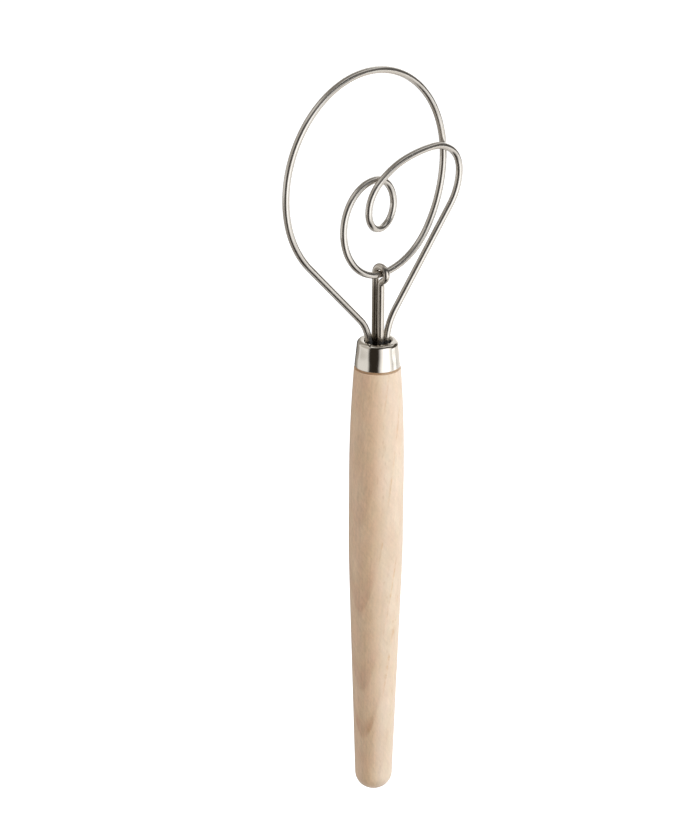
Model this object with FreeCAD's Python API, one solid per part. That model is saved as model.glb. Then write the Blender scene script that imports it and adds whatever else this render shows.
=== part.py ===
import FreeCAD, Part
import math
import os

Vector = FreeCAD.Vector

# A dough whisk: a turned wooden handle, a drawn steel ferrule, one whisk wire wound into three loops,
# a hooked wire that holds the loops at the middle, and the adhesive that keeps the wire legs in the handle.
# All sizes are in millimetres. The origin is the middle of the grip band, on the handle's axis.
# +Z runs up the handle to the wire head, +X to the head's tight shoulder, and -Y is the head's front.

# Wire stock and the room between its strands
wire_diameter = 3.0
crossing_gap = 0.5
hook_gap = 0.3
eye_clearance = 0.2

# Handle, with each blend measured from the corner that it rounds
grip_radius = 12.0
grip_length = 28.0
taper_blend = 11.0
shoulder_blend = 23.0
butt_reach = 144.3
butt_radius = 8.2
butt_flat_radius = 0.9
seat_reach = 62.8
seat_ledge = 0.2
edge_break = 0.25

# Socket for the wire legs, drilled into the top of the handle
bond_thickness = 0.6
bond_clearance = 0.05
bond_headspace = 0.8
socket_depth = 40.0
drill_point_angle = 118.0
leg_end_gap = 1.5

# Ferrule, a cap of thin sheet with its mouth turned in, which stops just short of the handle's seat
seam_gap = 0.95
ferrule_height = 11.65
ferrule_spread = 1.15
ferrule_wall = 0.6
ferrule_clearance = 0.05
lower_edge_round = 0.3
mouth_clearance = 0.3
lip_inner_round = 0.4
lip_collar = 0.8
rim_flat = 0.5
rim_inner_round = 1.0
tenon_gap = 1.2

# Flares, where the legs leave the mouth and bend outwards
left_flare_height = 5.1
right_flare_height = 6.1
flare_blend = 8.0

# Loops of the whisk wire, as reaches from the axis and heights over the mouth
outer_loop_radius = 45.8
outer_loop_shift = 5.8
outer_loop_height = 73.4
eye_height = 30.3
inner_loop_reach = 20.5
inner_loop_height = 51.2
inner_top_shift = 0.9
inner_top_height = 71.4
small_loop_radius = 9.0
small_loop_shift = 1.3
small_loop_height = 59.0
bridge_angle = 37.0
crest_reach = 30.0
crest_height = 80.3
shoulder_reach = 46.5
shoulder_height = 66.4
shoulder_bend_radius = 22.7

# Hook
hook_kink_radius = 3.0

# Step between the points on which a wire's gap to itself is measured
gap_step = 1.0

# Sizes that follow from the driving dimensions
wire_radius = wire_diameter / 2
strand_pitch = wire_diameter + crossing_gap
strand_depth = strand_pitch / 2
hook_leg_depth = (wire_diameter + hook_gap) / 2
eye_radius = wire_diameter + eye_clearance
eye_depth = hook_leg_depth - eye_radius
leg_bundle_radius = math.hypot(strand_pitch, strand_depth) + wire_radius

mouth_radius = leg_bundle_radius + mouth_clearance
lip_round = ferrule_wall + lip_inner_round
rim_round = ferrule_wall + rim_inner_round
lip_drop = lip_round + lip_collar
rim_radius = mouth_radius + lip_round + rim_flat + rim_round
ferrule_radius = rim_radius + ferrule_spread
ferrule_slope = ferrule_spread / ferrule_height

butt_z = -butt_reach
seat_z = seat_reach
ferrule_z = seat_z + seam_gap
mouth_z = ferrule_z + ferrule_height
tenon_z = mouth_z - lip_drop - tenon_gap
bond_z = tenon_z - bond_headspace
socket_radius = leg_bundle_radius + bond_thickness
socket_z = tenon_z - socket_depth
leg_end_z = socket_z + leg_end_gap

RIGHT = Vector(1, 0, 0)
LEFT = Vector(-1, 0, 0)
UP = Vector(0, 0, 1)
DOWN = Vector(0, 0, -1)
BACKWARD = Vector(0, 1, 0)
AXIS_POINT = Vector(0, 0, 0)


def line_edge(start, end):
    return Part.LineSegment(start, end).toShape()


def arc_edge(start, corner, end):
    """Arc from start to end whose tangents there meet at the corner, equally far from both."""
    weight = start.distanceToPoint(end) / (2 * start.distanceToPoint(corner))
    middle = (start + end + corner * (2 * weight)) / (2 + 2 * weight)
    return Part.Arc(start, middle, end).toShape()


def rounded_run(points, blends):
    """Edges along the points, with each inner point rounded from one blend before it to one after it."""
    edges = []
    last = points[0]
    for before, corner, after, blend in zip(points, points[1:], points[2:], blends):
        arrival = corner + (before - corner).normalize() * blend
        departure = corner + (after - corner).normalize() * blend
        edges.append(line_edge(last, arrival))
        if blend > 0:
            edges.append(arc_edge(arrival, corner, departure))
        last = departure
    edges.append(line_edge(last, points[-1]))
    return edges


def biarc(start, start_way, end, end_way):
    """Two tangent arcs that leave start along start_way and reach end along end_way."""
    span = end - start
    ways = start_way + end_way
    turn = 2 * (1 - start_way.dot(end_way))
    along = span.dot(ways)
    lead = (math.sqrt(along * along + turn * span.dot(span)) - along) / turn
    first_corner = start + start_way * lead
    second_corner = end - end_way * lead
    meeting = (first_corner + second_corner) / 2
    return [arc_edge(start, first_corner, meeting), arc_edge(meeting, second_corner, end)]


def touch_point(corner, centre, radius, side):
    """Where a line from the corner touches a circle of the XZ plane, on its left (1) or right (-1)."""
    span = centre - corner
    across = Vector(-span.z, 0, span.x) * side
    reach = span.Length
    along = math.sqrt(reach * reach - radius * radius)
    return corner + (span * along + across * radius) * (along / (reach * reach))


def turned(edges):
    """Solid of revolution about the handle's axis from a closed outline."""
    face = Part.Face(Part.Wire(edges))
    return face.revolve(AXIS_POINT, UP, 360)


def drawn_wire(edges):
    """Round wire along tangent edges; prints its volume against section times length."""
    path = Part.Wire(edges)
    start_way = edges[0].tangentAt(edges[0].FirstParameter)
    section = Part.Wire(Part.makeCircle(wire_radius, path.OrderedVertexes[0].Point, start_way))
    solid = path.makePipeShell([section], True, False)
    expected = math.pi * wire_radius ** 2 * path.Length
    print("volume share of section times length:", round(solid.Volume / expected, 5))
    print("least gap of the wire to itself:", round(least_gap(path), 3))
    return solid


def least_gap(path):
    """Smallest gap between stretches of a wire that lie more than a half turn of wire apart."""
    points = path.discretize(Distance=gap_step)
    apart = math.ceil(math.pi * strand_pitch / gap_step)
    nearest = min(
        point.distanceToPoint(other)
        for place, point in enumerate(points)
        for other in points[place + apart:]
    )
    return nearest - wire_diameter


def at_height(reach, depth, height):
    """Point of the head: reach from the axis, depth behind the middle plane, height over the mouth."""
    return Vector(reach, depth, mouth_z + height)


def ring_point(radius, height):
    """Point of an outline that is revolved about the handle's axis."""
    return Vector(radius, 0, height)


def ferrule_side(height, inset):
    """Radius of the ferrule's tapered side, inset by some of its wall."""
    return ferrule_radius - inset - (height - ferrule_z) * ferrule_slope


def make_handle():
    """Turned stick with a domed butt, a straight grip band, a stepped tenon and a drilled socket."""
    tenon_inset = ferrule_wall + ferrule_clearance
    drill_tip_depth = socket_radius / math.tan(math.radians(drill_point_angle / 2))
    grip_half = grip_length / 2
    outline = [
        (ring_point(0, butt_z), 0),
        (ring_point(butt_radius, butt_z), butt_radius - butt_flat_radius),
        (ring_point(grip_radius, -grip_half - taper_blend), taper_blend),
        (ring_point(grip_radius, grip_half + shoulder_blend), shoulder_blend),
        (ring_point(ferrule_radius + seat_ledge, seat_z), edge_break),
        (ring_point(ferrule_side(seat_z, tenon_inset), seat_z), 0),
        (ring_point(ferrule_side(tenon_z, tenon_inset), tenon_z), edge_break),
        (ring_point(socket_radius, tenon_z), 0),
        (ring_point(socket_radius, socket_z), 0),
        (ring_point(0, socket_z - drill_tip_depth), 0),
    ]
    points = [point for point, blend in outline]
    blends = [blend for point, blend in outline[1:-1]]
    return turned(rounded_run(points, blends) + [line_edge(points[-1], points[0])])


def make_ferrule():
    """Cap of even sheet: tapered side, rounded rim and a lip that turns down into the mouth."""
    lip_z = mouth_z - lip_drop
    under_z = mouth_z - ferrule_wall
    lower_edge = ring_point(ferrule_side(ferrule_z, ferrule_wall), ferrule_z)
    outside = [
        lower_edge,
        ring_point(ferrule_side(ferrule_z, 0), ferrule_z),
        ring_point(ferrule_side(mouth_z, 0), mouth_z),
        ring_point(mouth_radius, mouth_z),
        ring_point(mouth_radius, lip_z),
    ]
    inside = [
        ring_point(mouth_radius + ferrule_wall, lip_z),
        ring_point(mouth_radius + ferrule_wall, under_z),
        ring_point(ferrule_side(under_z, ferrule_wall), under_z),
        lower_edge,
    ]
    outer_run = rounded_run(outside, [lower_edge_round, rim_round, lip_round])
    inner_run = rounded_run(inside, [lip_inner_round, rim_inner_round])
    lip_edge = line_edge(outside[-1], inside[0])
    return turned(outer_run + [lip_edge] + inner_run)


def leg_run(reach, depth, flare_height, centre, radius, side):
    """Leg from its end in the socket, bent at the flare, up to where it touches a loop's circle."""
    foot = Vector(reach, depth, leg_end_z)
    corner = at_height(reach, depth, flare_height)
    touch = touch_point(corner, centre, radius, side)
    return [foot, corner, touch]


def make_whisk_wire():
    """One wire: left leg, outer loop, hook's eye, inner loop, small loop, bridge, shoulder and right leg."""
    back = strand_depth
    front = -strand_depth
    outer_centre = at_height(-outer_loop_shift, back, outer_loop_height)
    shoulder_centre = at_height(shoulder_reach - shoulder_bend_radius, front, shoulder_height)
    left_leg = leg_run(-strand_pitch, back, left_flare_height, outer_centre, outer_loop_radius, 1)
    right_leg = leg_run(strand_pitch, front, right_flare_height, shoulder_centre, shoulder_bend_radius, -1)
    right_leg.reverse()

    inner_climb = BACKWARD * (strand_depth / (inner_loop_height - eye_height))
    small_climb = BACKWARD * (strand_depth / small_loop_radius)
    slant = math.radians(bridge_angle)
    stations = [
        (left_leg[-1], left_leg[-1] - left_leg[-2]),
        (outer_centre + UP * outer_loop_radius, RIGHT),
        (outer_centre + RIGHT * outer_loop_radius, DOWN),
        (at_height(0, eye_depth, eye_height), LEFT),
        (at_height(-inner_loop_reach, 0, inner_loop_height), UP + inner_climb),
        (at_height(-inner_top_shift, back, inner_top_height), RIGHT),
        (at_height(small_loop_shift + small_loop_radius, back, small_loop_height), DOWN),
        (at_height(small_loop_shift, 0, small_loop_height - small_loop_radius), LEFT - small_climb),
        (at_height(small_loop_shift - small_loop_radius, front, small_loop_height), UP),
        (at_height(-inner_top_shift, front, inner_top_height), RIGHT * math.cos(slant) + UP * math.sin(slant)),
        (at_height(crest_reach, front, crest_height), RIGHT),
        (at_height(shoulder_reach, front, shoulder_height), DOWN),
        (right_leg[0], right_leg[1] - right_leg[0]),
    ]
    edges = rounded_run(left_leg, [flare_blend])
    for (start, start_way), (end, end_way) in zip(stations, stations[1:]):
        edges += biarc(start, start_way.normalize(), end, end_way.normalize())
    edges += rounded_run(right_leg, [flare_blend])
    return drawn_wire(edges)


def make_hook_wire():
    """Hairpin whose back leg runs straight into the eye and whose front leg kinks in under it."""
    eye = at_height(0, eye_depth, eye_height)
    leg_step = -hook_leg_depth - eye_depth
    kink_reach = eye_radius + hook_kink_radius
    kink_depth = leg_step - hook_kink_radius
    kink_drop = math.sqrt(kink_reach ** 2 - kink_depth ** 2)
    kink = eye + Vector(0, kink_depth, -kink_drop)
    sweep = math.pi + math.atan2(kink_drop, -kink_depth)

    def on_eye(angle):
        return eye + Vector(0, math.cos(angle), math.sin(angle)) * eye_radius

    def on_kink(angle):
        return kink + Vector(0, math.cos(angle), math.sin(angle)) * hook_kink_radius

    kink_turn = sweep - math.pi
    back_foot = Vector(0, hook_leg_depth, leg_end_z)
    front_foot = Vector(0, -hook_leg_depth, leg_end_z)
    edges = [
        line_edge(back_foot, on_eye(0)),
        Part.Arc(on_eye(0), on_eye(sweep / 4), on_eye(sweep / 2)).toShape(),
        Part.Arc(on_eye(sweep / 2), on_eye(sweep * 3 / 4), on_eye(sweep)).toShape(),
        Part.Arc(on_kink(kink_turn), on_kink(kink_turn / 2), on_kink(0)).toShape(),
        line_edge(on_kink(0), front_foot),
    ]
    return drawn_wire(edges)


def make_bonding_plug():
    """Hardened adhesive that fills the socket round the four wire legs."""
    floor_z = socket_z + bond_clearance
    plug = Part.makeCylinder(socket_radius - bond_clearance, bond_z - floor_z, Vector(0, 0, floor_z))
    leg_places = [
        (-strand_pitch, strand_depth),
        (0, hook_leg_depth),
        (0, -hook_leg_depth),
        (strand_pitch, -strand_depth),
    ]
    hole_z = leg_end_z - bond_clearance
    hole_radius = wire_radius + bond_clearance
    for reach, depth in leg_places:
        plug = plug.cut(Part.makeCylinder(hole_radius, mouth_z - hole_z, Vector(reach, depth, hole_z)))
    return plug.Solids[0]


nodes = {
    "handle": make_handle,
    "ferrule": make_ferrule,
    "whisk_wire": make_whisk_wire,
    "hook_wire": make_hook_wire,
    "bonding_plug": make_bonding_plug,
}

os.makedirs("parts", exist_ok=True)
for name, make in nodes.items():
    solid = make()
    solid.exportStep("parts/" + name + ".step")
    box = solid.BoundBox
    print(name, solid.ShapeType, solid.isValid(), round(solid.Volume, 1), round(box.ZMin, 2), round(box.ZMax, 2))
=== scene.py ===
import math

import bpy
from mathutils import Matrix, Vector


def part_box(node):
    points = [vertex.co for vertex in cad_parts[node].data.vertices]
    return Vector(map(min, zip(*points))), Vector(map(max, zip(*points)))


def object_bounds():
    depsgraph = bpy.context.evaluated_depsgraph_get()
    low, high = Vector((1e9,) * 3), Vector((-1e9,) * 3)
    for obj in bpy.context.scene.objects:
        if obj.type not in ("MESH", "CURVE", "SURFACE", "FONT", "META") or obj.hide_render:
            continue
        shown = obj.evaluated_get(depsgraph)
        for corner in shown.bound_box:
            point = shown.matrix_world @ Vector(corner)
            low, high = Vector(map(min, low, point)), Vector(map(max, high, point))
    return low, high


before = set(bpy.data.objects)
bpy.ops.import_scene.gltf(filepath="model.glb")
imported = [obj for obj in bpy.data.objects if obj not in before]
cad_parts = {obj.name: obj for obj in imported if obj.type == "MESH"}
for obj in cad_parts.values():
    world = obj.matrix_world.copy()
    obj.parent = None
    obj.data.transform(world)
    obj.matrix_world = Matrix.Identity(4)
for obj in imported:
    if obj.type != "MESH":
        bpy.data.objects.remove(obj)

cad_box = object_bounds()

# The object is a dough whisk: a turned beech handle, a polished cap, two bent wires and the hardened bond.
# The frame's own nodes are kept as they are and only get finishes here.
# The studio's sizes are in metres, the finishes' sizes in millimetres, and colours are linear.

MILLIMETRE = 0.001
HALF_TURN = 180.0
upward = (0.0, 0.0, 1.0)

# Places and sizes of the frame's nodes that the finishes follow, in millimetres
handle_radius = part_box("handle")[1].x / MILLIMETRE
cap_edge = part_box("ferrule")[0].z / MILLIMETRE
cap_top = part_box("ferrule")[1].z / MILLIMETRE

# The picture and the camera that took it
picture_width = 700
picture_height = 840
sensor_length = 36.0
focal_pixels = 2766.0
camera_azimuth = math.radians(-44.08)
camera_elevation = math.radians(23.05)
camera_roll = math.radians(0.33)
camera_distance = 1.2
aim_aside = -0.0117
aim_height = 0.03784

# Level directions at the object: to the side that the photo shows, and to the picture's right
toward_camera = (math.sin(camera_azimuth), -math.cos(camera_azimuth), 0.0)
picture_right = (math.cos(camera_azimuth), math.sin(camera_azimuth), 0.0)

# The white backdrop, the studio's own light and the floor
backdrop_white = (1.0, 1.0, 1.0)
studio_white = (0.99, 0.95, 0.90)
floor_depth = 0.25
floor_half_width = 6.0
floor_colour = (0.9, 0.9, 0.9)
floor_lift = 0.62

# Two soft lamps that the polished metal doesn't show
# Each: azimuth from the camera to the picture's right and elevation, in degrees, then power and colour
lamp_distance = 2.0
lamp_size = 0.9
window_lamp = (66.0, 45.0, 30.0, (0.86, 1.00, 1.16))
warm_fill = (-45.0, 25.0, 6.0, (1.20, 1.00, 0.88))

# Soft panels before the backdrop, which light the object and show in the metal
# Each: azimuth, half width, elevation, half height and soft edge, in degrees, then its light
dim_ceiling = (26.0, 60.0, 80.0, 25.0, 10.0, (0.40, 0.39, 0.37))
dim_back = (180.0, 55.0, 60.0, 20.0, 6.0, (0.20, 0.19, 0.17))
dim_zenith = (0.0, 181.0, 90.0, 13.0, 5.0, (0.28, 0.27, 0.25))
dim_low_left = (-82.0, 28.0, -55.0, 36.0, 7.0, (0.42, 0.40, 0.37))
dim_far_left = (-148.0, 26.0, 5.0, 47.0, 7.0, (0.42, 0.40, 0.37))
dim_left_wall = (-81.0, 33.0, 30.0, 25.0, 8.0, (0.65, 0.63, 0.60))
dark_front = (-19.0, 28.0, -14.0, 72.0, 9.0, (0.036, 0.030, 0.023))
dark_over_key = (48.0, 50.0, 38.0, 22.0, 9.0, (0.020, 0.016, 0.012))
dark_low_front = (30.0, 42.0, -70.0, 25.0, 8.0, (0.024, 0.020, 0.015))
dark_right = (109.0, 31.0, 11.0, 22.0, 5.0, (0.085, 0.075, 0.062))
bright_key = (45.0, 20.0, -4.0, 30.0, 14.0, (2.05, 2.10, 2.18))
key_wing = (94.0, 12.0, -22.0, 12.0, 2.0, (1.82, 1.85, 1.90))
pale_far_right = (130.0, 45.0, -38.0, 21.0, 3.0, (1.12, 1.10, 1.08))
dark_behind = (-158.0, 13.0, -24.0, 32.0, 7.0, (0.050, 0.044, 0.037))
bright_behind = (168.0, 12.0, -16.0, 28.0, 7.0, (1.90, 1.90, 1.90))
# A later panel stands before an earlier one
studio_panels = (
    dim_ceiling, dim_back, dim_zenith, dim_low_left, dim_far_left, dim_left_wall, dark_front, dark_over_key,
    dark_low_front, dark_right, bright_key, key_wing, pale_far_right, dark_behind, bright_behind,
)

# The marks and the drift of tone that the finishes share
mark_noise = {"scale": 1.0, "detail": 4.0, "roughness": 0.6}
dull_patch_noise = {"scale": 0.35, "detail": 3.0}
dull_patch_ends = (0.35, 0.7)
dull_line_noise = {"scale": 2.3}
dull_line_ends = (0.4, 0.65)
noise_ends = (0.3, 0.7)

# The beech's year layers: they lean with height, round a pith outside the handle and left of the camera
heart_azimuth = math.radians(-88.0)
pith_distance = 40.0
layer_lean = 0.17
spiral_grain = 0.0024
layer_wander = 1.6
wander_noise = {"size": (18.0, 18.0, 60.0), "detail": 3.0}

# Where along the layers, from the axis, the flat-cut side ends and the quarter-cut side starts
flat_cut_end = 4.5
quarter_cut_start = 9.5

# Layers that show as broad tongues on the flat-cut side: outer edge, strength and depth of late wood
tongue_layers = (
    (21.5, 0.20, 3.0), (30.0, 0.25, 3.4), (38.0, 0.60, 3.7), (45.8, 0.60, 3.0), (50.7, 1.00, 1.9),
    (58.2, 0.15, 2.0), (62.5, 0.30, 2.0), (66.5, 0.50, 2.2), (71.5, 0.60, 2.4), (77.0, 0.60, 2.4),
)
tongue_edge = 0.6
tongue_break_noise = {"size": (5.0, 5.0, 9.0)}
tongue_break_ends = (0.3, 0.65)
tongue_break_shares = (0.55, 1.0)
quarter_tongue_share = 0.1

# Layers that show as fine broken lines on the quarter-cut side: outer edge, strength and depth of late wood
line_layers = ((30.0, 0.5, 1.1), (38.2, 0.6, 1.1), (46.65, 0.7, 1.1), (52.0, 1.0, 1.6), (58.2, 0.9, 1.2))
line_edge = 0.35
line_cut_start = 8.6
line_cut_full = 10.2
dash_noise = {"size": (7.0, 7.0, 13.0)}
dash_ends = (0.45, 0.58)
bead_noise = {"size": (1.6, 1.6, 2.2)}
bead_ends = (0.38, 0.58)
bead_shares = (0.3, 1.0)

# The wood rays' flecks, and the patches where there are more of them
fleck_noise = {"size": (2.4, 0.8, 3.4), "detail": 1.0}
fleck_ends = (0.60, 0.76)
fleck_patch_noise = {"size": (9.0, 9.0, 20.0)}
fleck_patch_ends = (0.3, 0.75)
fleck_patch_shares = (0.25, 1.0)
fleck_colour_share = 0.45

# Fine strokes on the turned surface and speckles in the wood, and how far each lightens and darkens
sanding_strokes = {"size": (1.2, 3.0, 7.0), "slant": math.radians(36.0)}
sanding_reach = 0.060
cross_strokes = {"size": (1.2, 3.0, 8.0), "slant": math.radians(-17.0)}
cross_reach = 0.040
grain_streaks = {"size": (1.1, 3.0, 18.0), "slant": math.radians(-2.0)}
streak_reach = 0.055
stroke_noise_roughness = 0.6
speckle_size = 1.1
speckle_noise = {"scale": 1.0 / speckle_size, "detail": 1.0}
speckle_reach = 0.030
quarter_calm_share = 0.45

# The beech's slow changes of light and colour
light_drift_size = 16.0
light_drift_stretch = (1.0, 1.0, 0.4)
light_drift_factors = (0.98, 1.02)
blush_size = 5.0
blush_stretch = (1.0, 1.0, 0.5)
cloud_noise = {"size": (7.0, 7.0, 15.0), "detail": 3.0}
cloud_ends = (0.32, 0.68)
rosy_tint = (1.014, 0.989, 0.998)
sallow_tint = (0.988, 1.007, 0.992)
warm_cloud_tint = (0.980, 0.960, 0.930)
pale_cloud_tint = (1.020, 1.034, 1.052)

# A belt of warmer wood along the front: its middle around the handle, where it is full and where it ends
warm_belt_middle = -1.8
warm_belt_full = 1.5
warm_belt_end = 7.0
warm_belt_tint = (1.06, 1.03, 0.985)
plain_tint = (1.0, 1.0, 1.0)

# The beech's colours
pale_wood = (0.790, 0.600, 0.430)
olive_late_wood = (0.620, 0.432, 0.272)
rosy_late_wood = (0.640, 0.410, 0.282)
olive_most_share = 0.6
line_wood = (0.680, 0.420, 0.200)
fleck_wood = (0.640, 0.425, 0.250)
end_wood = (0.690, 0.490, 0.325)
end_grain_ends = (0.45, 0.95)
end_grain_share = 0.6

# A darker brown in the open seam, by depth under the cap's lower edge, and painted shade on the glued tenon
# inside the cap, by height over that edge
seam_brown = (0.520, 0.335, 0.190)
seam_start = 1.0
seam_full = 0.9
tenon_painted_shade = (0.022, 0.014, 0.009)
tenon_shade_start = 0.8
tenon_shade_full = 1.6

# The beech's surface: its gloss, raw fibres that catch light at a slant, and its relief
wood_gloss = 0.5
wood_roughness_ends = (0.40, 0.54)
fibre_sheen = 0.4
fibre_sheen_roughness = 0.4
wood_relief = 0.02
sanding_relief_share = 0.5
fleck_relief_share = 0.6

# The cap's steel: polishing marks that run around it, and gentle waves left by drawing
cap_tones = ((0.672, 0.624, 0.554), (0.688, 0.643, 0.576))
cap_tone_size = 9.0
cap_roughness_ends = (0.10, 0.20)
cap_mark_stretch = (0.12, 0.12, 7.0)
cap_mark_depth = 0.004
cap_wave_noise = {"size": (8.0, 8.0, 8.0), "detail": 0.0}
cap_wave_depth = 0.6

# The wires' steel, and painted shade at their roots by height over the cap and by distance to the right
whisk_wire_tones = ((0.553, 0.510, 0.454), (0.590, 0.551, 0.499))
# The hook's darker tones are painted shade from the wires around it, on the same steel as the whisk
hook_wire_shaded_tones = ((0.509, 0.460, 0.397), (0.562, 0.513, 0.449))
wire_tone_size = 7.0
wire_metal_share = 0.92
wire_roughness_ends = (0.17, 0.28)
wire_mark_stretch = (2.2, 2.2, 2.2)
wire_mark_depth = 0.01
root_painted_shade = (0.100, 0.074, 0.038)
root_shade_full = 22.0
root_shade_reach = 28.0
root_shade_side_ends = (-0.5, 0.1)
whisk_wire_root_shade_share = 0.1
hook_wire_root_shade_share = 0.68

# The hardened bond: near black, partly its own colour and partly painted shade deep in the cap's mouth
bond_and_mouth_shade_tones = ((0.008, 0.006, 0.004), (0.016, 0.011, 0.008))
bond_tone_size = 2.0
bond_roughness_ends = (0.6, 0.8)
bond_gloss = 0.1
bond_relief = 0.1


# Small helpers for node trees

def add_node(tree, kind, **settings):
    node = tree.nodes.new(kind)
    for name, value in settings.items():
        setattr(node, name, value)
    return node


def feed(tree, socket, value):
    """Links a socket to another one, or sets a plain value on it."""
    if isinstance(value, bpy.types.NodeSocket):
        tree.links.new(value, socket)
    else:
        socket.default_value = value


def number(tree, operation, *values):
    node = add_node(tree, "ShaderNodeMath", operation=operation)
    for socket, value in zip(node.inputs, values):
        feed(tree, socket, value)
    return node.outputs["Value"]


def product(tree, first, *others):
    for other in others:
        first = number(tree, "MULTIPLY", first, other)
    return first


def vector(tree, operation, *values, output="Vector"):
    node = add_node(tree, "ShaderNodeVectorMath", operation=operation)
    for socket, value in zip(node.inputs, values):
        feed(tree, socket, value)
    return node.outputs[output]


def measured(tree, place, axis):
    """How far a place lies along an axis."""
    return vector(tree, "DOT_PRODUCT", place, axis, output="Value")


def parts_of(tree, place):
    """A place's three coordinates."""
    node = add_node(tree, "ShaderNodeSeparateXYZ")
    tree.links.new(place, node.inputs["Vector"])
    return [node.outputs[name] for name in "XYZ"]


def place_from(tree, **parts):
    """A place from its coordinates."""
    node = add_node(tree, "ShaderNodeCombineXYZ")
    for name, value in parts.items():
        tree.links.new(value, node.inputs[name])
    return node.outputs["Vector"]


def scaled(tree, entry, factor):
    """A vector or colour times one number."""
    node = add_node(tree, "ShaderNodeVectorMath", operation="SCALE")
    feed(tree, node.inputs[0], entry)
    feed(tree, node.inputs["Scale"], factor)
    return node.outputs["Vector"]


def ramp(tree, value, low, high, to_low=0.0, to_high=1.0, shape="SMOOTHSTEP"):
    """A value's step from low to high, put out between two ends."""
    node = add_node(tree, "ShaderNodeMapRange", interpolation_type=shape)
    for name, entry in (("Value", value), ("From Min", low), ("From Max", high),
                        ("To Min", to_low), ("To Max", to_high)):
        feed(tree, node.inputs[name], entry)
    return node.outputs["Result"]


def blend_colours(tree, share, first, second, kind="MIX"):
    node = add_node(tree, "ShaderNodeMix", data_type="RGBA", blend_type=kind)
    feed(tree, node.inputs["Factor"], share)
    for name, colour in (("A", first), ("B", second)):
        socket = [entry for entry in node.inputs if entry.name == name and entry.type == "RGBA"][0]
        feed(tree, socket, colour if isinstance(colour, bpy.types.NodeSocket) else (*colour, 1.0))
    return [entry for entry in node.outputs if entry.type == "RGBA"][0]


def tinted(tree, colour, share, first_tint, second_tint):
    """A colour times a tint that goes from the first to the second with the share."""
    return blend_colours(tree, 1.0, colour, blend_colours(tree, share, first_tint, second_tint), "MULTIPLY")


def noise(tree, place, scale, detail=2.0, roughness=0.5):
    node = add_node(tree, "ShaderNodeTexNoise")
    feed(tree, node.inputs["Vector"], place)
    feed(tree, node.inputs["Scale"], scale)
    feed(tree, node.inputs["Detail"], detail)
    feed(tree, node.inputs["Roughness"], roughness)
    return node.outputs["Fac"]


def sized_noise(tree, place, size, **settings):
    """Noise whose spots have a size of their own along each axis."""
    return noise(tree, vector(tree, "DIVIDE", place, size), 1.0, **settings)


def new_group(name, inputs, outputs):
    """A shader node group with named inputs and outputs, and its two end nodes."""
    tree = bpy.data.node_groups.new(name, "ShaderNodeTree")
    for label, kind in inputs:
        tree.interface.new_socket(label, in_out="INPUT", socket_type=kind)
    for label, kind in outputs:
        tree.interface.new_socket(label, in_out="OUTPUT", socket_type=kind)
    return tree, add_node(tree, "NodeGroupInput"), add_node(tree, "NodeGroupOutput")


def place_group(tree, group, **values):
    node = add_node(tree, "ShaderNodeGroup", node_tree=group)
    for name, value in values.items():
        feed(tree, node.inputs[name.replace("_", " ")], value)
    return node.outputs


def new_material(name):
    """A material with its node tree, its shader and the place on the object in millimetres."""
    material = bpy.data.materials.new(name)
    material.use_nodes = True
    tree = material.node_tree
    tree.nodes.clear()
    shader = add_node(tree, "ShaderNodeBsdfPrincipled")
    output = add_node(tree, "ShaderNodeOutputMaterial")
    tree.links.new(shader.outputs["BSDF"], output.inputs["Surface"])
    place = add_node(tree, "ShaderNodeTexCoord").outputs["Object"]
    return material, tree, shader, scaled(tree, place, 1.0 / MILLIMETRE)


def bumped(tree, shader, height, depth):
    bump = add_node(tree, "ShaderNodeBump")
    bump.inputs["Distance"].default_value = depth * MILLIMETRE
    tree.links.new(height, bump.inputs["Height"])
    tree.links.new(bump.outputs["Normal"], shader.inputs["Normal"])


# The camera

def make_camera():
    back = Vector((math.sin(camera_azimuth) * math.cos(camera_elevation),
                   -math.cos(camera_azimuth) * math.cos(camera_elevation),
                   math.sin(camera_elevation)))
    level_right = Vector(picture_right)
    level_up = back.cross(level_right)
    right = level_right * math.cos(camera_roll) + level_up * math.sin(camera_roll)
    up = back.cross(right)
    aim = level_right * aim_aside + Vector(upward) * aim_height
    data = bpy.data.cameras.new("camera")
    data.sensor_width = sensor_length
    data.lens = focal_pixels / max(picture_width, picture_height) * sensor_length
    camera = bpy.data.objects.new("camera", data)
    bpy.context.scene.collection.objects.link(camera)
    turn = Matrix((right, up, back)).transposed().to_4x4()
    camera.matrix_world = Matrix.Translation(aim + back * camera_distance) @ turn
    bpy.context.scene.camera = camera


# The studio

def studio_panel_group():
    """The mask of a soft-edged panel, in degrees of azimuth and elevation."""
    inputs = [(label, "NodeSocketFloat") for label in
              ("Azimuth", "Elevation", "Across", "Half Width", "Height", "Half Height", "Soft Edge")]
    tree, start, end = new_group("studio_panel", inputs, [("Mask", "NodeSocketFloat")])
    ports = start.outputs

    def span(offset, half):
        offset = number(tree, "ABSOLUTE", offset)
        outer = number(tree, "ADD", half, ports["Soft Edge"])
        inner = number(tree, "SUBTRACT", half, ports["Soft Edge"])
        return ramp(tree, offset, outer, inner)

    turn = number(tree, "SUBTRACT", ports["Azimuth"], ports["Across"])
    turn = number(tree, "WRAP", turn, HALF_TURN, -HALF_TURN)
    rise = number(tree, "SUBTRACT", ports["Elevation"], ports["Height"])
    mask = product(tree, span(turn, ports["Half Width"]), span(rise, ports["Half Height"]))
    tree.links.new(mask, end.inputs["Mask"])
    return tree


def straight_rays(tree):
    """1 for a ray that comes to the backdrop straight from the camera or through glass, otherwise 0."""
    path = add_node(tree, "ShaderNodeLightPath").outputs
    return number(tree, "MAXIMUM", path["Is Camera Ray"], path["Is Transmission Ray"])


def backdrop_rays(tree):
    """1 for a ray that sees the white backdrop, straight or in polished metal, otherwise 0."""
    path = add_node(tree, "ShaderNodeLightPath").outputs
    return number(tree, "MAXIMUM", straight_rays(tree), path["Is Glossy Ray"])


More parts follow.
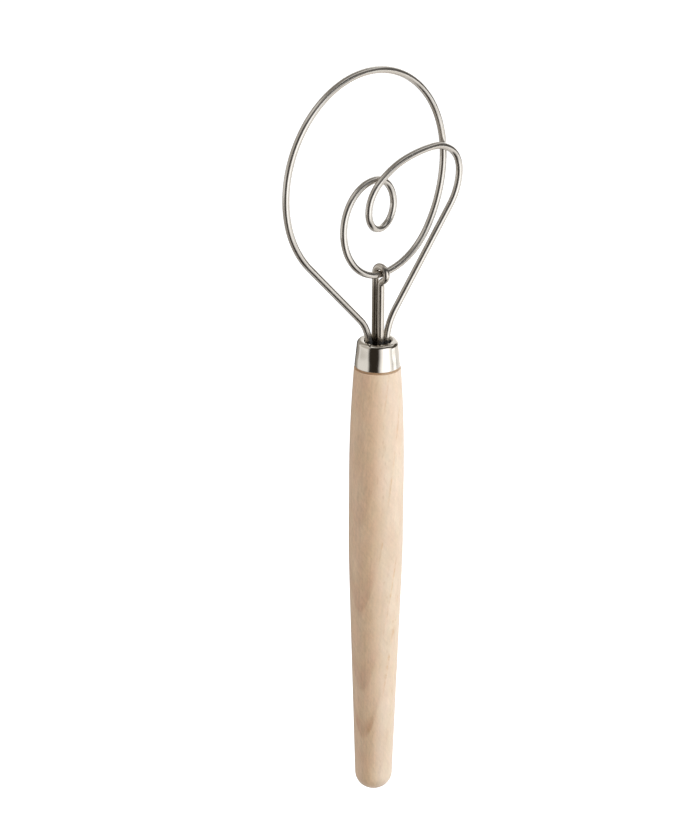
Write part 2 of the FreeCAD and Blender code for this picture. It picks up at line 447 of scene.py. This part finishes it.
def make_world():
    """The white backdrop, with the panels before it that the camera doesn't see."""
    world = bpy.data.worlds.new("studio")
    world.use_nodes = True
    bpy.context.scene.world = world
    tree = world.node_tree
    tree.nodes.clear()
    ray = add_node(tree, "ShaderNodeTexCoord").outputs["Generated"]
    turn = number(tree, "ARCTAN2", measured(tree, ray, picture_right), measured(tree, ray, toward_camera))
    azimuth = number(tree, "DEGREES", turn)
    elevation = number(tree, "DEGREES", number(tree, "ARCSINE", measured(tree, ray, upward)))
    panel_group = studio_panel_group()
    light = blend_colours(tree, backdrop_rays(tree), studio_white, backdrop_white)
    for across, half_width, height, half_height, soft_edge, colour in studio_panels:
        panel = place_group(tree, panel_group, Azimuth=azimuth, Elevation=elevation, Across=across,
                            Half_Width=half_width, Height=height, Half_Height=half_height,
                            Soft_Edge=soft_edge)
        light = blend_colours(tree, panel["Mask"], light, colour)
    light = blend_colours(tree, straight_rays(tree), light, backdrop_white)
    studio = add_node(tree, "ShaderNodeBackground")
    tree.links.new(light, studio.inputs["Color"])
    output = add_node(tree, "ShaderNodeOutputWorld")
    tree.links.new(studio.outputs["Background"], output.inputs["Surface"])


def make_lamp(name, azimuth, elevation, power, colour):
    turn = math.radians(azimuth)
    rise = math.radians(elevation)
    level = Vector(toward_camera) * math.cos(turn) + Vector(picture_right) * math.sin(turn)
    way = level * math.cos(rise) + Vector(upward) * math.sin(rise)
    data = bpy.data.lights.new(name, "AREA")
    data.size = lamp_size
    data.energy = power
    data.color = colour
    lamp = bpy.data.objects.new(name, data)
    lamp.location = way * lamp_distance
    lamp.rotation_euler = way.to_track_quat("Z", "Y").to_euler()
    lamp.visible_glossy = False
    lamp.visible_camera = False
    bpy.context.scene.collection.objects.link(lamp)


def floor_material():
    material = bpy.data.materials.new("pale_floor")
    material.use_nodes = True
    tree = material.node_tree
    tree.nodes.clear()
    matte = add_node(tree, "ShaderNodeBsdfDiffuse")
    matte.inputs["Color"].default_value = (*floor_colour, 1.0)
    glow = add_node(tree, "ShaderNodeEmission")
    tree.links.new(product(tree, backdrop_rays(tree), floor_lift), glow.inputs["Strength"])
    both = add_node(tree, "ShaderNodeAddShader")
    tree.links.new(matte.outputs["BSDF"], both.inputs[0])
    tree.links.new(glow.outputs["Emission"], both.inputs[1])
    output = add_node(tree, "ShaderNodeOutputMaterial")
    tree.links.new(both.outputs["Shader"], output.inputs["Surface"])
    return material


def make_floor():
    level = cad_box[0].z - floor_depth
    corners = [(x * floor_half_width, y * floor_half_width, level)
               for x, y in ((-1, -1), (1, -1), (1, 1), (-1, 1))]
    mesh = bpy.data.meshes.new("floor")
    mesh.from_pydata(corners, [], [(0, 1, 2, 3)])
    mesh.materials.append(floor_material())
    floor = bpy.data.objects.new("floor", mesh)
    floor.visible_glossy = False
    floor.visible_diffuse = False
    bpy.context.scene.collection.objects.link(floor)


# Effects that the finishes share

def polish_marks_group():
    """Fine marks left by polishing or drawing: a height and a roughness share, on a stretched place."""
    tree, start, end = new_group("polish_marks",
                                 [("Place", "NodeSocketVector"), ("Stretch", "NodeSocketVector")],
                                 [("Height", "NodeSocketFloat"), ("Dulling", "NodeSocketFloat")])
    place = start.outputs["Place"]
    stretched = vector(tree, "MULTIPLY", place, start.outputs["Stretch"])
    tree.links.new(noise(tree, stretched, **mark_noise), end.inputs["Height"])
    patches = ramp(tree, noise(tree, place, **dull_patch_noise), *dull_patch_ends)
    lines = ramp(tree, noise(tree, stretched, **dull_line_noise), *dull_line_ends)
    tree.links.new(product(tree, patches, lines), end.inputs["Dulling"])
    return tree


def tone_drift_group():
    """A slow change of tone over a surface, from 0 to 1."""
    tree, start, end = new_group("tone_drift",
                                 [("Place", "NodeSocketVector"), ("Size", "NodeSocketFloat")],
                                 [("Tone", "NodeSocketFloat")])
    scale = number(tree, "DIVIDE", 1.0, start.outputs["Size"])
    tone = ramp(tree, noise(tree, start.outputs["Place"], scale), *noise_ends)
    tree.links.new(tone, end.inputs["Tone"])
    return tree


# The beech

def wood_place(tree, place):
    """The place in the log's own axes: toward the pith, along the layers, and along the trunk."""
    heartward = (math.sin(heart_azimuth), -math.cos(heart_azimuth), 0.0)
    along = (math.cos(heart_azimuth), math.sin(heart_azimuth), 0.0)
    return place_from(tree, X=measured(tree, place, heartward), Y=measured(tree, place, along),
                      Z=measured(tree, place, upward))


def unrolled_place(tree, place):
    """The place on the turned surface: around the axis from the side that the photo shows, then along it."""
    turn = number(tree, "ARCTAN2", measured(tree, place, picture_right), measured(tree, place, toward_camera))
    return place_from(tree, X=product(tree, turn, handle_radius), Z=measured(tree, place, upward))


def growth_depth(tree, wood):
    """Distance from the pith, with the layers' lean, spiral and wander."""
    toward, across, height = parts_of(tree, wood)
    from_pith = number(tree, "SUBTRACT", pith_distance, toward)
    squares = number(tree, "MULTIPLY_ADD", across, across, product(tree, from_pith, from_pith))
    depth = number(tree, "MULTIPLY_ADD", height, -layer_lean, number(tree, "SQRT", squares))
    depth = number(tree, "MULTIPLY_ADD", product(tree, height, across), spiral_grain, depth)
    return number(tree, "MULTIPLY_ADD", sized_noise(tree, wood, **wander_noise), layer_wander, depth)


def growth_layers(tree, depth, layers, edge_width):
    """Late wood, 0 to 1: it deepens toward the outside of each year's layer, then stops short."""
    total = 0.0
    for edge, strength, thickness in layers:
        rise = ramp(tree, depth, edge - thickness, edge)
        fall = ramp(tree, depth, edge, edge + edge_width, strength, 0.0)
        total = number(tree, "MAXIMUM", total, product(tree, rise, fall))
    return total


def quarter_cut(tree, wood, start, full):
    """How far the surface cuts square through the year layers, 0 to 1."""
    across = parts_of(tree, wood)[1]
    return ramp(tree, across, start, full)


def grown_tongues(tree, wood, depth, quarter):
    """Broad tongues of late wood on the flat-cut side."""
    tongues = growth_layers(tree, depth, tongue_layers, tongue_edge)
    breaks = sized_noise(tree, wood, **tongue_break_noise)
    breaks = ramp(tree, breaks, *tongue_break_ends, *tongue_break_shares)
    fading = ramp(tree, quarter, 0.0, 1.0, 1.0, quarter_tongue_share)
    return product(tree, tongues, breaks, fading)


def broken_lines(tree, wood, depth):
    """Fine late wood on the quarter-cut side, broken into dashes and beads."""
    lines = growth_layers(tree, depth, line_layers, line_edge)
    dashes = ramp(tree, sized_noise(tree, wood, **dash_noise), *dash_ends)
    beads = ramp(tree, sized_noise(tree, wood, **bead_noise), *bead_ends, *bead_shares)
    square = quarter_cut(tree, wood, line_cut_start, line_cut_full)
    return product(tree, dashes, beads, square, lines)


def ray_flecks(tree, wood):
    """Short dark spindles where the wood rays come to the surface."""
    grains = ramp(tree, sized_noise(tree, wood, **fleck_noise), *fleck_ends)
    patches = sized_noise(tree, wood, **fleck_patch_noise)
    patches = ramp(tree, patches, *fleck_patch_ends, *fleck_patch_shares)
    return product(tree, grains, patches)


def fine_strokes(tree, unrolled, size, slant):
    """Fine strokes on the turned surface, aslant of the handle."""
    turn = add_node(tree, "ShaderNodeVectorRotate", rotation_type="Y_AXIS")
    turn.inputs["Angle"].default_value = slant
    tree.links.new(unrolled, turn.inputs["Vector"])
    return sized_noise(tree, turn.outputs["Vector"], size, roughness=stroke_noise_roughness)


def wood_shade(tree, wood, unrolled, quarter):
    """The wood's fine light and dark as a factor, calmer on the quarter-cut side, and its sanding strokes."""
    drift_place = vector(tree, "MULTIPLY", wood, light_drift_stretch)
    drift = place_group(tree, tone_drift, Place=drift_place, Size=light_drift_size)
    light = ramp(tree, drift["Tone"], 0.0, 1.0, *light_drift_factors, "LINEAR")
    sanding = fine_strokes(tree, unrolled, **sanding_strokes)
    textures = (
        (noise(tree, wood, **speckle_noise), speckle_reach),
        (sanding, sanding_reach),
        (fine_strokes(tree, unrolled, **cross_strokes), cross_reach),
        (fine_strokes(tree, unrolled, **grain_streaks), streak_reach),
    )
    calm = ramp(tree, quarter, 0.0, 1.0, 1.0, 1.0 - quarter_calm_share)
    for texture, reach in textures:
        swing = product(tree, ramp(tree, texture, *noise_ends, -reach, reach, "LINEAR"), calm)
        light = number(tree, "MULTIPLY_ADD", light, swing, light)
    return light, sanding


def warm_belt(tree, unrolled):
    """How far the place lies in the belt of warmer wood, 0 to 1."""
    around = parts_of(tree, unrolled)[0]
    offset = number(tree, "ABSOLUTE", number(tree, "SUBTRACT", around, warm_belt_middle))
    return ramp(tree, offset, warm_belt_end, warm_belt_full)


def end_grain(tree):
    """How far the surface cuts across the trunk, 0 to 1."""
    facing = add_node(tree, "ShaderNodeTexCoord").outputs["Normal"]
    return ramp(tree, number(tree, "ABSOLUTE", measured(tree, facing, upward)), *end_grain_ends)


def seam_brown_and_tenon_shade(tree, place, colour):
    """The colour with the strip in the open seam darkened, and painted shade on the glued tenon inside the
    cap.
    """
    height = measured(tree, place, upward)
    seam = ramp(tree, height, cap_edge - seam_start, cap_edge - seam_full)
    colour = blend_colours(tree, seam, colour, seam_brown)
    # Painted shade: the tenon inside the cap is darkened where the cap shades it
    tenon = ramp(tree, height, cap_edge + tenon_shade_start, cap_edge + tenon_shade_full)
    return blend_colours(tree, tenon, colour, tenon_painted_shade)


def figured_wood(tree, wood, tongues, lines, flecks):
    """The beech's colour from its figure and its slow changes."""
    blush_place = vector(tree, "MULTIPLY", wood, blush_stretch)
    blush = place_group(tree, tone_drift, Place=blush_place, Size=blush_size)["Tone"]
    late_wood = blend_colours(tree, product(tree, blush, olive_most_share), rosy_late_wood, olive_late_wood)
    colour = blend_colours(tree, tongues, pale_wood, late_wood)
    colour = blend_colours(tree, lines, colour, line_wood)
    colour = blend_colours(tree, product(tree, flecks, fleck_colour_share), colour, fleck_wood)
    colour = blend_colours(tree, product(tree, end_grain(tree), end_grain_share), colour, end_wood)
    clouds = ramp(tree, sized_noise(tree, wood, **cloud_noise), *cloud_ends)
    colour = tinted(tree, colour, clouds, warm_cloud_tint, pale_cloud_tint)
    return tinted(tree, colour, blush, rosy_tint, sallow_tint)


def beech_material():
    material, tree, shader, place = new_material("turned_beech")
    wood = wood_place(tree, place)
    unrolled = unrolled_place(tree, place)
    depth = growth_depth(tree, wood)
    quarter = quarter_cut(tree, wood, flat_cut_end, quarter_cut_start)
    tongues = grown_tongues(tree, wood, depth, quarter)
    flecks = ray_flecks(tree, wood)
    colour = figured_wood(tree, wood, tongues, broken_lines(tree, wood, depth), flecks)
    colour = tinted(tree, colour, warm_belt(tree, unrolled), plain_tint, warm_belt_tint)
    light, sanding = wood_shade(tree, wood, unrolled, quarter)
    colour = seam_brown_and_tenon_shade(tree, place, scaled(tree, colour, light))
    tree.links.new(colour, shader.inputs["Base Color"])
    roughness = ramp(tree, sanding, *noise_ends, *wood_roughness_ends, "LINEAR")
    tree.links.new(roughness, shader.inputs["Roughness"])
    shader.inputs["Specular IOR Level"].default_value = wood_gloss
    shader.inputs["Sheen Weight"].default_value = fibre_sheen
    shader.inputs["Sheen Roughness"].default_value = fibre_sheen_roughness
    raised = product(tree, sanding, sanding_relief_share)
    sunk = product(tree, flecks, fleck_relief_share)
    bumped(tree, shader, number(tree, "SUBTRACT", raised, sunk), wood_relief)
    return material


# The steels

def drifting_colour(tree, place, size, tones):
    drift = place_group(tree, tone_drift, Place=place, Size=size)
    return blend_colours(tree, drift["Tone"], *tones)


def marked_steel(tree, shader, place, stretch, roughness_ends):
    """Dulls the shader where there are marks, and gives the marks' height."""
    marks = place_group(tree, polish_marks, Place=place, Stretch=stretch)
    roughness = ramp(tree, marks["Dulling"], 0.0, 1.0, *roughness_ends, "LINEAR")
    tree.links.new(roughness, shader.inputs["Roughness"])
    return marks["Height"]


def cap_steel_material():
    material, tree, shader, place = new_material("polished_cap_steel")
    shader.inputs["Metallic"].default_value = 1.0
    colour = drifting_colour(tree, place, cap_tone_size, cap_tones)
    tree.links.new(colour, shader.inputs["Base Color"])
    marks = marked_steel(tree, shader, place, cap_mark_stretch, cap_roughness_ends)
    waves = sized_noise(tree, place, **cap_wave_noise)
    height = number(tree, "MULTIPLY_ADD", marks, cap_mark_depth / cap_wave_depth, waves)
    bumped(tree, shader, height, cap_wave_depth)
    return material


def wire_steel_material(name, tones, root_shade_share):
    """Drawn steel wire, with painted shade toward its root in the cap's mouth, on its left as the camera sees
    it.
    """
    material, tree, shader, place = new_material(name)
    shader.inputs["Metallic"].default_value = wire_metal_share
    colour = drifting_colour(tree, place, wire_tone_size, tones)
    height = measured(tree, place, upward)
    # Painted shade: the root's left side is darkened as if shaded by the wires beside it
    low = ramp(tree, height, cap_top + root_shade_full, cap_top + root_shade_reach, root_shade_share, 0.0)
    left = ramp(tree, measured(tree, place, picture_right), *root_shade_side_ends, 1.0, 0.0)
    colour = blend_colours(tree, product(tree, low, left), colour, root_painted_shade)
    tree.links.new(colour, shader.inputs["Base Color"])
    marks = marked_steel(tree, shader, place, wire_mark_stretch, wire_roughness_ends)
    bumped(tree, shader, marks, wire_mark_depth)
    return material


# The bond

def bond_material():
    material, tree, shader, place = new_material("hardened_bond")
    tone = place_group(tree, tone_drift, Place=place, Size=bond_tone_size)["Tone"]
    # The bond's near-black tones are partly painted shade in the cap's mouth
    tree.links.new(blend_colours(tree, tone, *bond_and_mouth_shade_tones), shader.inputs["Base Color"])
    tree.links.new(ramp(tree, tone, 0.0, 1.0, *bond_roughness_ends), shader.inputs["Roughness"])
    shader.inputs["Specular IOR Level"].default_value = bond_gloss
    bumped(tree, shader, tone, bond_relief)
    return material


polish_marks = polish_marks_group()
tone_drift = tone_drift_group()
finishes = {
    "handle": beech_material(),
    "ferrule": cap_steel_material(),
    "bonding_plug": bond_material(),
    "whisk_wire": wire_steel_material("drawn_wire_steel", whisk_wire_tones, whisk_wire_root_shade_share),
    # The hook wire's finish is the drawn steel darkened as painted shade
    "hook_wire": wire_steel_material("hook_wire_steel_painted_shade", hook_wire_shaded_tones, hook_wire_root_shade_share),
}
for node_name, finish in finishes.items():
    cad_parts[node_name].material_slots[0].material = finish

bpy.context.scene.view_settings.view_transform = "Standard"
make_camera()
make_world()
make_lamp("window_lamp", *window_lamp)
make_lamp("warm_fill", *warm_fill)
make_floor()

bpy.context.view_layer.update()
